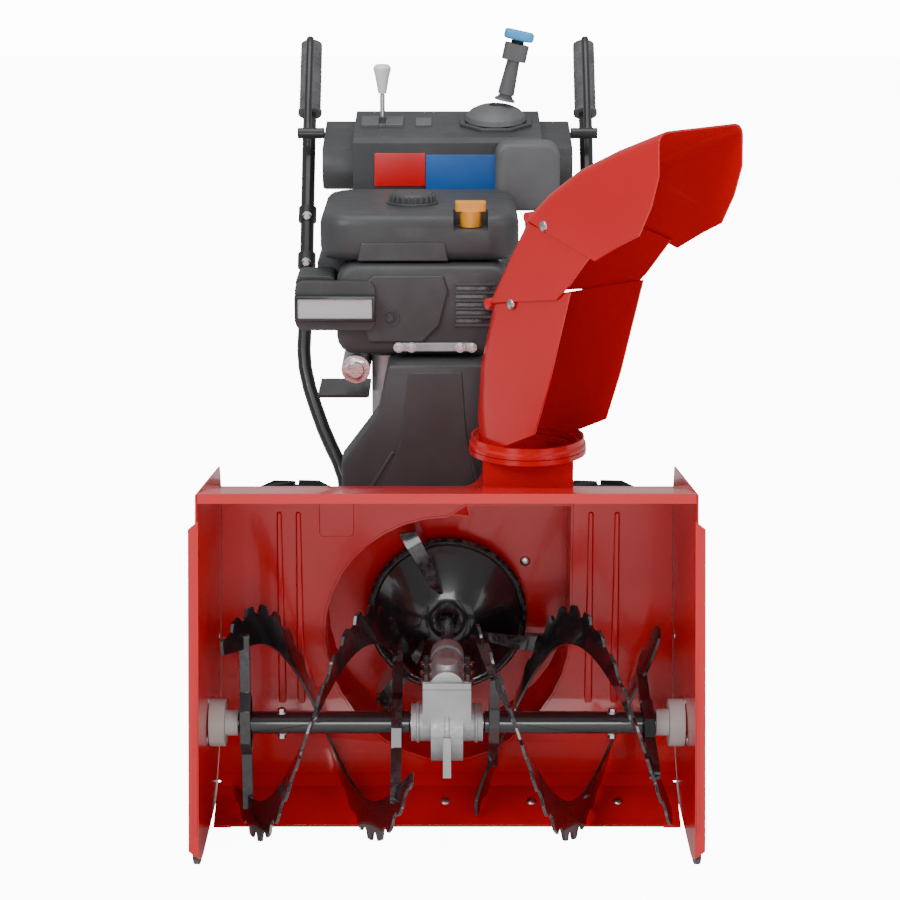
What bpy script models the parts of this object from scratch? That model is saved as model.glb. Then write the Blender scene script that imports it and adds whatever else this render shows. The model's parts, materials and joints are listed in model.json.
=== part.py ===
"""Two stage snowblower, in metres, +Z up, standing on Z = 0, with its auger at -Y.

Machine coordinates are used throughout: X to the right of someone facing the auger, Y rearward from the
front edge of the auger housing. The machine empty then moves the whole to the centre of its own box.
A moving body is an empty on its joint axis, and its pieces are parented to that empty.
"""

import math
from math import cos, pi, radians, sin

import bmesh
import bpy
from mathutils import Matrix, Vector

# Place of the machine's own coordinates in the world.
ORIGIN = Vector((-0.0240, -0.6570, 0.0))

SHEET = 0.003  # thickness of the steel sheet
GAP = 0.0005  # clearance between pieces that touch on the real machine

# Auger housing and its two stages
HALF_WIDTH_AT_GROUND = 0.365
HALF_WIDTH_TAPER = 0.026
AUGER_AXIS = Vector((0.0, 0.170, 0.190))
AUGER_RADIUS = 0.178
AUGER_TUBE_RADIUS = 0.017
FLIGHT_INNER_RADIUS = 0.118
FLIGHT_THICKNESS = 0.005
FLIGHT_LEAD = 0.348
WRAP_RADIUS = 0.194
HOUSING_TOP = 0.598
IMPELLER_AXIS = Vector((0.0, 0.420, 0.262))
IMPELLER_RADIUS = 0.170
DRUM_FRONT = 0.3685
DRUM_BACK = 0.490
DRUM_RADIUS = 0.197
NECK_LEFT = 0.056
NECK_TOP = 0.548
MOUTH_TOP = 0.478

# Discharge chute
CHUTE_AXIS = Vector((0.127, 0.428, 0.0))
CHUTE_REST_TURN = radians(40.0)
RING_RADIUS = 0.089
RING_TOP = 0.5725
CHUTE_HALF_WIDTH = 0.0765
MID_PIVOT = Vector((0.0, 0.0120, 0.7900))
TOP_PIVOT = Vector((0.0, -0.0770, 0.9335))

# Drive and engine
WHEEL_RADIUS = 0.200
WHEEL_AXLE = Vector((0.0, 0.750, 0.200))
WHEEL_CENTRE_X = 0.265
CHASSIS_TOP = 0.420
CRANK_AXIS = Vector((-0.015, 0.0, 0.600))

# Controls
HANDLE_X = 0.256
LEVER_PIVOT = Vector((0.0, 1.130, 0.958))
PANEL_POINT = Vector((0.0, 1.105, 0.9805))
PANEL_TILT = radians(8.45)
SPEED_PIVOT = Vector((-0.118, 1.105, 0.9860))
STICK_PIVOT = Vector((0.087, 1.105, 0.9480))
STICK_LEAN = radians(12.5)
FUEL_CAP = Vector((-0.058, 0.730, 0.0))
OIL_CAP = Vector((0.038, 0.640, 0.0))
TANK_TOP = 0.893
RECOIL_HANDLE = Vector((0.105, 0.918, 0.690))
CHOKE_KNOB = Vector((-0.172, 0.7810, 0.760))


def clear_scene():
    for old in list(bpy.data.objects):
        bpy.data.objects.remove(old, do_unlink=True)


def paint(name, colour, roughness, metallic=0.0):
    material = bpy.data.materials.new(name)
    material.use_nodes = True
    shader = material.node_tree.nodes["Principled BSDF"]
    shader.inputs["Base Color"].default_value = (*colour, 1.0)
    shader.inputs["Roughness"].default_value = roughness
    shader.inputs["Metallic"].default_value = metallic
    material.diffuse_color = (*colour, 1.0)
    return material


def empty(name, place, parent=None, turn=0.0):
    holder = bpy.data.objects.new(name, None)
    holder.location = place
    holder.rotation_euler = (0.0, 0.0, turn)
    holder.parent = parent
    bpy.context.scene.collection.objects.link(holder)
    return holder


def add(name, bm, material, body, pivot=Vector(), smooth=35.0):
    """Make a node from a mesh in its body's coordinates, whose joint axis passes through pivot."""
    bmesh.ops.translate(bm, verts=bm.verts, vec=-pivot)
    bmesh.ops.recalc_face_normals(bm, faces=bm.faces)
    mesh = bpy.data.meshes.new(name)
    bm.to_mesh(mesh)
    bm.free()
    mesh.materials.append(material)
    mesh.shade_smooth()
    mesh.set_sharp_from_angle(angle=radians(smooth))
    node = bpy.data.objects.new(name, mesh)
    node.parent = body
    bpy.context.scene.collection.objects.link(node)
    return node


def combine(node, helper_bm, operation, body, pivot=Vector()):
    """Cut a mesh from a node, or weld it on, with the helper kept out of the render."""
    name = f"{node.name}_{operation.lower()}_{len(node.modifiers)}"
    helper = add(name, helper_bm, node.data.materials[0], body, pivot)
    helper.hide_render = True
    helper.display_type = "WIRE"
    modifier = node.modifiers.new(name, "BOOLEAN")
    modifier.operation = operation
    modifier.solver = "EXACT"
    modifier.object = helper
    return node


def bevel(node, width, segments=2, angle=40.0):
    modifier = node.modifiers.new("edge_radius", "BEVEL")
    modifier.width = width
    modifier.segments = segments
    modifier.limit_method = "ANGLE"
    modifier.angle_limit = radians(angle)
    return node


def axis_matrix(axis):
    """Turn local (x, y, z) so that z runs along the named axis: outlines are (y, z), (x, z) or (x, y)."""
    columns = {
        "X": ((0, 1, 0), (0, 0, 1), (1, 0, 0)),
        "Y": ((1, 0, 0), (0, 0, 1), (0, 1, 0)),
        "Z": ((1, 0, 0), (0, 1, 0), (0, 0, 1)),
    }[axis]
    return Matrix(columns).transposed().to_4x4()


def prism(outline, axis, low, high):
    """Solid with the given outline, drawn across the axis and reaching from low to high along it."""
    bm = bmesh.new()
    matrix = axis_matrix(axis)
    rings = []
    for level in (low, high):
        rings.append([bm.verts.new(matrix @ Vector((a, b, level))) for a, b in outline])
    join_rings(bm, rings)
    return bm


def join_rings(bm, rings, closed=False):
    """Skin a list of vertex rings, capping the first and last unless they close on each other."""
    pairs = list(zip(rings, rings[1:]))
    if closed:
        pairs.append((rings[-1], rings[0]))
    else:
        bm.faces.new(rings[0])
        bm.faces.new(reversed(rings[-1]))
    for lower, upper in pairs:
        for index in range(len(lower)):
            after = (index + 1) % len(lower)
            bm.faces.new((lower[index], upper[index], upper[after], lower[after]))


def box(low, high):
    corners = ((low[0], low[1]), (high[0], low[1]), (high[0], high[1]), (low[0], high[1]))
    return prism(corners, "Z", low[2], high[2])


def arc(centre, radius, start, end, steps):
    """Points of an arc in degrees, both ends included."""
    angles = (radians(start + (end - start) * step / steps) for step in range(steps + 1))
    return [(centre[0] + radius * cos(angle), centre[1] + radius * sin(angle)) for angle in angles]


def cylinder(axis, centre, radius, low, high, sides=24, end_radius=None):
    """Round bar or cone along an axis, through centre."""
    matrix = axis_matrix(axis)
    flat = axis_matrix(axis).transposed() @ Vector(centre)
    bm = bmesh.new()
    rings = []
    for level, size in ((low, radius), (high, end_radius or radius)):
        points = arc((flat.x, flat.y), size, 0.0, 360.0 - 360.0 / sides, sides - 1)
        rings.append([bm.verts.new(matrix @ Vector((a, b, level))) for a, b in points])
    join_rings(bm, rings)
    return bm


def turned(profile, axis, centre, sides):
    """Ring turned from a closed profile of (distance along the axis, radius) points."""
    matrix = Matrix.Translation(centre) @ axis_matrix(axis)
    bm = bmesh.new()
    rings = []
    for step in range(sides):
        angle = 2 * pi * step / sides
        spoke = Vector((cos(angle), sin(angle), 0.0))
        ring = [matrix @ (spoke * radius + Vector((0.0, 0.0, along))) for along, radius in profile]
        rings.append([bm.verts.new(point) for point in ring])
    join_rings(bm, rings, closed=True)
    return bm


def rounded_block(low, high, radius, axis="Z", steps=4):
    """Box with round corners along one axis; low and high are its opposite corners."""
    order = {"X": (1, 2, 0), "Y": (0, 2, 1), "Z": (0, 1, 2)}[axis]
    a, b, along = order
    corners = (
        (high[a] - radius, high[b] - radius, 0.0),
        (low[a] + radius, high[b] - radius, 90.0),
        (low[a] + radius, low[b] + radius, 180.0),
        (high[a] - radius, low[b] + radius, 270.0),
    )
    outline = []
    for x, y, start in corners:
        outline += arc((x, y), radius, start, start + 90.0, steps)
    return prism(outline, axis, low[along], high[along])


def smooth_path(points, steps):
    """Catmull-Rom curve through the points."""
    points = [Vector(point) for point in points]
    ends = [2 * points[0] - points[1], *points, 2 * points[-1] - points[-2]]
    route = []
    for before, start, end, after in zip(ends, ends[1:], ends[2:], ends[3:]):
        for step in range(steps):
            t = step / steps
            bend = (2 * before - 5 * start + 4 * end - after) * t * t
            twist = (3 * start - before - 3 * end + after) * t**3
            route.append(0.5 * (2 * start + (end - before) * t + bend + twist))
    return [*route, points[-1]]


def tube(points, radius, steps=4, sides=10):
    """Round bar along a smooth path."""
    route = smooth_path(points, steps)
    bm = bmesh.new()
    rings = []
    across = Vector((1.0, 0.0, 0.0))
    for index, point in enumerate(route):
        along = route[min(index + 1, len(route) - 1)] - route[max(index - 1, 0)]
        up = along.cross(across).normalized()
        side = up.cross(along).normalized()
        turns = (2 * pi * step / sides for step in range(sides))
        rings.append([bm.verts.new(point + radius * (cos(turn) * side + sin(turn) * up)) for turn in turns])
    join_rings(bm, rings)
    return bm


def half_width(z):
    """Inner half width of the auger housing, which narrows a little towards its top."""
    return HALF_WIDTH_AT_GROUND - HALF_WIDTH_TAPER * z


def follow_taper(bm, offset=0.0):
    """Move each vertex out to the side plates' inner faces, keeping its side."""
    for vert in bm.verts:
        vert.co.x = math.copysign(half_width(vert.co.z) + offset, vert.co.x)
    return bm


def wrap_profile(inset):
    """Side view of the housing's bent sheet, from its top front edge to the scraper bar, moved inward."""
    centre = (AUGER_AXIS.y, AUGER_AXIS.z)
    edge = inset - 0.0035
    lip = [(edge, HOUSING_TOP - 0.012), (edge, HOUSING_TOP + 0.0025 - inset)]
    top = [*lip, (0.110, HOUSING_TOP - 0.023 - inset), (0.315, 0.517 - inset)]
    corner = arc((0.332 - inset, 0.484 - inset), 0.032, 55.0, 0.0, 3)
    belly = arc(centre, WRAP_RADIUS - inset, 0.0, -50.0, 8)
    return top + corner + belly


def mouth_outline(radius, top):
    """Front view of the impeller housing's mouth: a circle whose upper right corner opens into the neck."""
    return [(radius, top), *arc((IMPELLER_AXIS.x, IMPELLER_AXIS.z), radius, 0.0, -270.0, 27), (0.030, top)]


def volute_outline(inset, neck_top):
    """Front view of the impeller housing: a drum whose right side rises into the neck."""
    radius = DRUM_RADIUS - inset
    centre = (IMPELLER_AXIS.x, IMPELLER_AXIS.z)
    drum = arc(centre, radius, 0.0, -280.0, 28)
    fillet = arc((NECK_LEFT + inset - 0.030, 0.500 - inset), 0.030, -80.0, 0.0, 4)
    return [(radius, neck_top), *drum, *fillet, (NECK_LEFT + inset, neck_top)]


def build_housing(root, red, black, plastic):
    outer = wrap_profile(0.0)
    inner = wrap_profile(SHEET)
    sheet = follow_taper(prism(outer + inner[::-1], "X", -1.0, 1.0), -GAP)
    wrap = add("auger_housing_wrap", sheet, red, root)
    mouth = prism(mouth_outline(DRUM_RADIUS + GAP, MOUTH_TOP + GAP), "Y", 0.290, DRUM_FRONT + 0.010)
    combine(wrap, mouth, "DIFFERENCE", root)

    front = [(0.0, HOUSING_TOP), *arc((0.085, 0.105), 0.092, 180.0, 270.0, 6), (0.290, 0.013)]
    back = [(0.390, 0.100), (0.396, 0.440), (0.340, 0.545)]
    for side, name in ((-1.0, "left"), (1.0, "right")):
        bm = prism(front + back, "X", -1.0, 1.0)
        for vert in bm.verts:
            depth = SHEET if vert.co.x > 0 else 0.0
            vert.co.x = side * (half_width(vert.co.z) + depth)
        add(f"housing_side_plate_{name}", bm, red, root)

    outside = prism(volute_outline(0.0, NECK_TOP), "Y", DRUM_FRONT, DRUM_BACK)
    drum = add("impeller_housing", outside, red, root)
    combine(drum, prism(mouth_outline(DRUM_RADIUS, MOUTH_TOP), "Y", 0.300, DRUM_FRONT + 0.001), "UNION", root)
    front_of_wrap = [*wrap_profile(SHEET), (-0.1, -0.1), (-0.1, HOUSING_TOP)]
    combine(drum, prism(front_of_wrap, "X", -0.4, 0.4), "DIFFERENCE", root)
    inside = prism(volute_outline(SHEET, NECK_TOP + 0.05), "Y", DRUM_FRONT + SHEET, DRUM_BACK - SHEET)
    combine(drum, inside, "DIFFERENCE", root)
    entry = prism(mouth_outline(DRUM_RADIUS - SHEET, MOUTH_TOP - SHEET), "Y", 0.280, DRUM_FRONT + 0.004)
    combine(drum, entry, "DIFFERENCE", root)
    combine(drum, cylinder("Y", IMPELLER_AXIS, 0.016, 0.40, 0.60), "DIFFERENCE", root)

    ring = [(NECK_TOP - 0.002, 0.066), (NECK_TOP - 0.002, 0.093), (0.5540, 0.093), (0.5540, 0.066)]
    combine(drum, turned(ring, "Z", CHUTE_AXIS, 32), "UNION", root)

    bar = [(0.2065, 0.0012), (0.2938, 0.0359), (0.2920, 0.0405), (0.2047, 0.0058)]
    add("scraper_bar", prism(bar, "X", -0.3625, 0.3625), red, root)

    skid = [(0.050, 0.030), *arc((0.085, 0.042), 0.042, 210.0, 270.0, 3), (0.225, 0.0),
            (0.265, 0.022), (0.265, 0.075), (0.050, 0.075)]
    for side, name in ((-1.0, "left"), (1.0, "right")):
        inner_face = half_width(0.0) + SHEET + GAP
        sides = sorted((side * inner_face, side * (inner_face + 0.009)))
        add(f"skid_shoe_{name}", prism(skid, "X", *sides), black, root)
        face = half_width(AUGER_AXIS.z + 0.04) - GAP
        profile = [(side * face, 0.0095), (side * face, 0.036), (side * (face - 0.024), 0.036),
                   (side * (face - 0.024), 0.020), (side * (face - 0.043), 0.020),
                   (side * (face - 0.043), 0.0095)]
        add(f"auger_bearing_{name}", turned(profile, "X", AUGER_AXIS, 28), plastic, root)


def build_gearbox(root, aluminium):
    case = add("gearbox_case", cylinder("X", AUGER_AXIS, 0.058, -0.024, 0.024, 28), aluminium, root)
    combine(case, cylinder("X", AUGER_AXIS, 0.0285, -0.054, 0.054, 24), "UNION", root)
    combine(case, box((-0.036, 0.118, 0.205), (0.036, 0.228, 0.2615)), "UNION", root)
    combine(case, cylinder("Y", IMPELLER_AXIS, 0.026, 0.120, 0.270, 24), "UNION", root)
    combine(case, box((-0.006, 0.106, 0.126), (0.006, 0.116, 0.190)), "UNION", root)
    combine(case, cylinder("X", AUGER_AXIS, 0.0530, -0.018, 0.018, 24), "DIFFERENCE", root)
    combine(case, cylinder("X", AUGER_AXIS, 0.0102, -0.080, 0.080, 16), "DIFFERENCE", root)
    combine(case, cylinder("Y", IMPELLER_AXIS, 0.0215, 0.135, 0.255, 16), "DIFFERENCE", root)
    combine(case, cylinder("Y", IMPELLER_AXIS, 0.0105, 0.200, 0.400, 16), "DIFFERENCE", root)
    combine(case, box((-0.050, 0.100, 0.2620), (0.050, 0.240, 0.320)), "DIFFERENCE", root)

    cap = add("gearbox_cap", box((-0.036, 0.118, 0.2622), (0.036, 0.228, 0.2720)), aluminium, root)
    combine(cap, cylinder("Y", IMPELLER_AXIS, 0.0260, 0.124, 0.224, 24), "UNION", root)
    combine(cap, cylinder("Z", (0.0, 0.150, 0.0), 0.021, 0.264, 0.2950, 20, 0.017), "UNION", root)
    combine(cap, cylinder("Y", IMPELLER_AXIS, 0.0215, 0.135, 0.300, 16), "DIFFERENCE", root)
    combine(cap, box((-0.050, 0.100, 0.200), (0.050, 0.300, 0.2622)), "DIFFERENCE", root)


def flight(side, start, end, phase):
    """Helical ribbon; phase is its angle from the top, towards the front, where it starts."""
    bm = bmesh.new()
    steps = 20
    rings = []
    for step in range(steps + 1):
        x = start + (end - start) * step / steps
        angle = phase + side * 2 * pi * (x - start) / FLIGHT_LEAD
        radial = Vector((0.0, -sin(angle), cos(angle)))
        ring = []
        half = FLIGHT_THICKNESS / 2
        inner, outer = FLIGHT_INNER_RADIUS, AUGER_RADIUS
        for radius, shift in ((inner, -half), (outer, -half), (outer, half), (inner, half)):
            ring.append(bm.verts.new(AUGER_AXIS + radial * radius + Vector((x + shift, 0.0, 0.0))))
        rings.append(ring)
    join_rings(bm, rings)
    return bm


def strap(x, angle, reach_up, reach_down):
    """Flat bar across the auger tube, joining the ends of its two ribbons; angle is from upright."""
    bm = box((x - 0.003, -0.013, -reach_down), (x + 0.003, 0.013, reach_up))
    bmesh.ops.rotate(bm, verts=bm.verts, cent=(0, 0, 0), matrix=Matrix.Rotation(angle, 3, "X"))
    bmesh.ops.translate(bm, verts=bm.verts, vec=AUGER_AXIS)
    return bm


def build_auger(auger, gloss, steel, brass):
    pivot = AUGER_AXIS
    inner = 0.0550
    outer = half_width(AUGER_AXIS.z) - 0.046
    halves = (
        ("left", -1.0, -0.330, -0.050, radians(207.0)),
        ("right", 1.0, 0.045, 0.330, radians(14.0)),
    )
    for name, side, start, end, phase in halves:
        ends = sorted((side * inner, side * outer))
        node = add(f"auger_{name}", cylinder("X", pivot, AUGER_TUBE_RADIUS, *ends, 20), gloss, auger, pivot)
        for turn in (0.0, pi):
            combine(node, flight(side, start, end, phase + turn), "UNION", auger, pivot)
        for x in (start + 0.026, end - 0.026):
            angle = phase + side * 2 * pi * (x - start) / FLIGHT_LEAD
            combine(node, strap(x, angle, 0.140, 0.140), "UNION", auger, pivot)
        bore = cylinder("X", pivot, 0.0100, *sorted((side * 0.04, side * 0.36)), 16)
        combine(node, bore, "DIFFERENCE", auger, pivot)

    limit = half_width(AUGER_AXIS.z) - 0.002
    add("auger_shaft", cylinder("X", pivot, 0.0092, -limit, limit, 16), steel, auger, pivot)
    gear = [(-0.012, 0.0097), (-0.012, 0.050), (0.012, 0.050), (0.012, 0.0097)]
    add("worm_gear", turned(gear, "X", pivot, 24), brass, auger, pivot)


def build_impeller(impeller, gloss, steel, dark):
    pivot = IMPELLER_AXIS
    disc = [(0.050, 0.0128), (0.016, 0.020), (0.012, 0.040), (0.042, 0.118), (0.034, 0.124), (0.046, 0.128),
            (0.052, 0.118), (0.056, 0.0128)]
    node = add("impeller", turned([(a - 0.005, r) for a, r in disc], "Y", pivot, 32), gloss, impeller, pivot)
    for turn in (100.0, -20.0, -140.0):
        bm = bmesh.new()
        rings = []
        for radius, front in ((0.060, -0.020), (0.115, -0.029), (0.164, -0.034), (IMPELLER_RADIUS, -0.022)):
            lean = 1.6 * (radius - 0.060) ** 2
            corners = ((front, -0.002), (0.048, -0.002), (0.048, 0.002), (front, 0.002))
            rings.append([bm.verts.new((radius, along, lean + side)) for along, side in corners])
        join_rings(bm, rings)
        tilt = Matrix.Rotation(-radians(turn), 4, "Y")
        bmesh.ops.transform(bm, verts=bm.verts, matrix=Matrix.Translation(pivot) @ tilt)
        combine(node, bm, "UNION", impeller, pivot)

    shaft = add("impeller_shaft", cylinder("Y", pivot, 0.0095, 0.142, 0.560, 16), steel, impeller, pivot)
    combine(shaft, cylinder("Y", pivot, 0.0195, 0.148, 0.192, 20), "UNION", impeller, pivot)
    groove = [(0.080, 0.0100), (0.080, 0.068), (0.087, 0.058), (0.094, 0.068), (0.094, 0.0100)]
    add("impeller_pulley", turned(groove, "Y", pivot, 28), dark, impeller, pivot)


def channel_section(back, front, half, radius, wall, steps=5):
    """U shaped section, open at the front; back and front are (reach, height) and half is its half width."""
    back = Vector((0.0, -back[0], back[1]))
    front = Vector((0.0, -front[0], front[1]))
    along = front - back
    length = along.length
    along.normalize()
    points = []
    for inset in (0.0, wall):
        corner = max(radius - inset, 0.001)
        row = [(length, -(half - inset))]
        row += [(radius - corner * sin(t), -(half - radius) - corner * cos(t)) for t in quarter(steps)]
        row += [(radius - corner * cos(t), (half - radius) + corner * sin(t)) for t in quarter(steps)]
        row.append((length, half - inset))
        points += row if inset == 0.0 else row[::-1]
    return [back + along * reach + Vector((across, 0.0, 0.0)) for reach, across in points]


def quarter(steps):
    return [0.5 * pi * step / steps for step in range(steps + 1)]


def channel(sections, half, wall=SHEET):
    bm = bmesh.new()
    rings = [[bm.verts.new(point) for point in channel_section(back, front, half, radius, wall)]
             for back, front, radius in sections]
    join_rings(bm, rings)
    return bm


def build_chute(chute, mid, top, red):
    """The bodies' own coordinates: the chute axis at x = y = 0, throwing towards -Y before the rest turn."""
    ring = [(0.5550, 0.0775), (0.5550, 0.0925), (0.5610, 0.0925), (0.5640, 0.0895), (RING_TOP, 0.0895),
            (RING_TOP, 0.0860), (0.5640, 0.0860), (0.5640, 0.0775)]
    add("chute_ring", turned(ring, "Z", Vector(), 32), red, chute)
    lower = [
        ((-0.0765, 0.5647), (0.0150, 0.5647), 0.0760),
        ((-0.0765, 0.6050), (0.1000, 0.6050), 0.0700),
        ((-0.0560, 0.6900), (0.1300, 0.6850), 0.0500),
        ((-0.0130, 0.7880), (0.1760, 0.8380), 0.0300),
    ]
    add("chute_tube", channel(lower, CHUTE_HALF_WIDTH), red, chute)
    middle = [
        ((-0.0120, 0.7930), (0.1500, 0.8220), 0.0220),
        ((0.0310, 0.8640), (0.1780, 0.8480), 0.0200),
        ((0.0755, 0.9310), (0.2280, 0.9050), 0.0180),
    ]
    add("deflector_mid", channel(middle, CHUTE_HALF_WIDTH + 0.0045), red, mid, MID_PIVOT)
    upper = [
        ((0.0785, 0.9370), (0.2360, 0.8930), 0.0180),
        ((0.1280, 0.9790), (0.2860, 0.9220), 0.0180),
        ((0.1900, 1.0200), (0.3250, 0.9420), 0.0180),
        ((0.2700, 1.0570), (0.3480, 0.9850), 0.0180),
        ((0.3600, 1.0920), (0.3620, 1.0300), 0.0180),
    ]
    add("deflector_top", channel(upper, CHUTE_HALF_WIDTH + 0.0090), red, top, TOP_PIVOT)


def build_drive(root, wheels, black, steel, rubber):
    shell = add("chassis_frame", box((-0.165, 0.500, 0.130), (0.165, 0.920, CHASSIS_TOP)), black, root)
    combine(shell, box((-0.162, 0.450, 0.100), (0.162, 0.917, CHASSIS_TOP - SHEET)), "DIFFERENCE", root)
    combine(shell, box((-0.110, 0.450, 0.300), (0.080, 0.590, 0.460)), "DIFFERENCE", root)
    combine(shell, cylinder("X", WHEEL_AXLE, 0.014, -0.3, 0.3, 16), "DIFFERENCE", root)
    for name, side, body in wheels:
        pivot = WHEEL_AXLE + Vector((side * WHEEL_CENTRE_X, 0.0, 0.0))
        tread = [(-0.048, 0.120), (-0.054, 0.150), (-0.050, 0.188), (-0.040, 0.1985), (-0.020, WHEEL_RADIUS),
                 (0.020, WHEEL_RADIUS), (0.040, 0.1985), (0.050, 0.188), (0.054, 0.150), (0.048, 0.120)]
        add(f"tyre_{name}", turned(tread, "X", pivot, 36), rubber, body, pivot)
        rim = [(-0.050, 0.102), (-0.050, 0.1195), (0.050, 0.1195), (0.050, 0.102), (0.012, 0.096),
               (0.006, 0.045), (0.026, 0.030), (0.026, 0.0118), (-0.036, 0.0118), (-0.036, 0.030),
               (0.000, 0.045), (0.004, 0.102)]
        add(f"wheel_rim_{name}", turned([(side * a, r) for a, r in rim], "X", pivot, 24), steel, body, pivot)
        ends = sorted((side * 0.012, side * (WHEEL_CENTRE_X + 0.034)))
        add(f"axle_{name}", cylinder("X", WHEEL_AXLE, 0.0110, *ends, 16), steel, body, pivot)


def build_engine(root, crank, black, plastic, steel, aluminium, lens):
    cover = [(-0.095, 0.664), (0.058, 0.664), (0.062, 0.425), (-0.172, 0.425), (-0.172, 0.500),
             (-0.112, 0.580)]
    node = bevel(add("belt_cover", prism(cover, "Y", 0.518, 0.6000), plastic, root), 0.006)
    inside = [(-0.088, 0.657), (0.052, 0.657), (0.056, 0.400), (-0.165, 0.400), (-0.165, 0.498),
              (-0.106, 0.576)]
    combine(node, prism(inside, "Y", 0.5230, 0.620), "DIFFERENCE", root)

    pulley = [(0.530, 0.0110), (0.530, 0.044), (0.537, 0.036), (0.544, 0.044), (0.544, 0.0110)]
    pivot = CRANK_AXIS
    node = add("engine_pulley", turned(pulley, "Y", pivot, 28), steel, crank, pivot)
    combine(node, cylinder("Y", pivot, 0.0120, 0.528, 0.6090, 16), "UNION", crank, pivot)

    block = rounded_block((-0.125, 0.6100, CHASSIS_TOP + GAP), (0.105, 0.870, 0.660), 0.020)
    node = add("engine_block", block, aluminium, root)
    combine(node, rounded_block((-0.110, 0.662, 0.640), (0.090, 0.860, 0.815), 0.030), "UNION", root)
    shroud = rounded_block((-0.180, 0.575, 0.668), (0.102, 0.6550, 0.8150), 0.030, "Y")
    bevel(add("engine_shroud", shroud, plastic, root), 0.012, 3)

    tank = rounded_block((-0.208, 0.598, 0.8170), (0.117, 0.900, TANK_TOP), 0.050)
    node = bevel(add("fuel_tank", tank, plastic, root), 0.018, 3)
    recess = cylinder("Z", FUEL_CAP, 0.043, TANK_TOP - 0.006, TANK_TOP + 0.02, 28)
    combine(node, recess, "DIFFERENCE", root)
    spout = box((0.010, 0.590, 0.868), (0.066, 0.665, TANK_TOP + 0.020))
    combine(node, spout, "DIFFERENCE", root)

    add("muffler", rounded_block((0.110, 0.650, 0.480), (0.200, 0.850, 0.610), 0.025, "Y"), steel, root)
    recoil = [(0.8705, 0.020), (0.8705, 0.105), (0.890, 0.105), (0.915, 0.080), (0.915, 0.020)]
    add("recoil_starter_cover", turned(recoil, "Y", CRANK_AXIS, 28), plastic, root)
    motor = Vector((-0.150, 0.0, 0.640))
    node = add("electric_starter", cylinder("Y", motor, 0.024, 0.592, 0.700, 20), steel, root)
    combine(node, cylinder("Y", motor, 0.013, 0.584, 0.594, 16), "UNION", root)
    heater = rounded_block((-0.215, 0.670, 0.700), (-0.130, 0.780, 0.812), 0.008, "Y", 3)
    add("carburettor_heater_box", heater, plastic, root)
    add("engine_shelf", box((-0.212, 0.575, 0.596), (-0.128, 0.690, 0.602)), black, root)

    light = rounded_block((-0.246, 0.588, 0.706), (-0.1825, 0.668, 0.796), 0.010, "Y")
    node = add("headlight_housing", light, plastic, root)
    wide = rounded_block((-0.246, 0.560, 0.712), (-0.116, 0.5740, 0.792), 0.014, "Y")
    combine(node, wide, "UNION", root)
    combine(node, rounded_block((-0.236, 0.565, 0.716), (-0.186, 0.600, 0.786), 0.010, "Y"), "UNION", root)
    window = rounded_block((-0.243, 0.5480, 0.732), (-0.119, 0.5595, 0.768), 0.008, "Y")
    add("headlight_lens", window, lens, root)


def build_handles(root, levers, black, grip):
    for name, side, body in levers:
        x = side * HANDLE_X
        bar = [(x, 1.2100, 0.9810), (x, 1.150, 0.905), (x, 1.000, 0.665), (x, 0.950, 0.560),
               (side * 0.222, 0.900, 0.460), (side * 0.184, 0.862, 0.378), (side * 0.180, 0.800, 0.300)]
        add(f"handlebar_{name}", tube(bar, 0.0125, 3), black, root)
        grips = [(x, 1.2115, 0.9835), (x, 1.240, 1.020), (x, 1.275, 1.065), (x, 1.305, 1.106)]
        add(f"grip_{name}", tube(grips, 0.0205, 2, 14), grip, root)
        pivot = LEVER_PIVOT + Vector((x, 0.0, 0.0))
        arm = [(x, 1.130, 0.958), (x, 1.150, 0.990), (x, 1.178, 1.030), (x, 1.220, 1.078), (x, 1.262, 1.118)]
        node = add(f"{'auger' if side < 0 else 'traction'}_lever", tube(arm, 0.0070, 3), black, body, pivot)
        ends = sorted((side * 0.2250, side * (HANDLE_X + 0.018)))
        combine(node, cylinder("X", (0.0, 1.130, 0.958), 0.010, *ends, 16), "UNION", body, pivot)


def on_panel(bm):
    """Tip a piece made level at the panel's height so that it lies along the console's sloping top."""
    turn = Matrix.Rotation(PANEL_TILT, 3, "X")
    bmesh.ops.rotate(bm, verts=bm.verts, cent=PANEL_POINT, matrix=turn)
    return bm


def build_console(root, plastic, cover, steel):
    side_view = [(1.000, 0.848), (0.996, 0.958), (1.010, 0.966), (1.185, 0.992), (1.200, 0.984),
                 (1.195, 0.870)]
    node = add("console", prism(side_view, "X", -0.168, 0.168), plastic, root)
    pod_view = [(1.030, 0.872), *arc((1.040, 0.905), 0.030, 200.0, 150.0, 2), (1.020, 0.945), (1.180, 0.974),
                (1.190, 0.880), (1.110, 0.858)]
    for side in (-1.0, 1.0):
        combine(node, prism(pod_view, "X", *sorted((side * 0.160, side * 0.2235))), "UNION", root)
    dome = [(0.0060 + 0.0280 * sin(t), 0.0560 * cos(t)) for t in quarter(5)[:-1]]
    dome = [(PANEL_POINT.z + along, radius) for along, radius in [*dome, (0.0340, 0.0120), (0.0060, 0.0120)]]
    add("joystick_dome", on_panel(turned(dome, "Z", (STICK_PIVOT.x, STICK_PIVOT.y, 0.0), 22)), cover, root)
    gear = rounded_block((0.084, 0.905, 0.850), (0.196, 0.975, 0.968), 0.022, "Y")
    bevel(add("chute_gear_cover", gear, cover, root), 0.008, 2)
    post = [(0.140, 0.930, 0.8440), (0.145, 0.900, 0.780), (0.150, 0.720, 0.680), (0.146, 0.545, 0.600)]
    add("chute_control_rod", tube(post, 0.0060, 4), steel, root)


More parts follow.
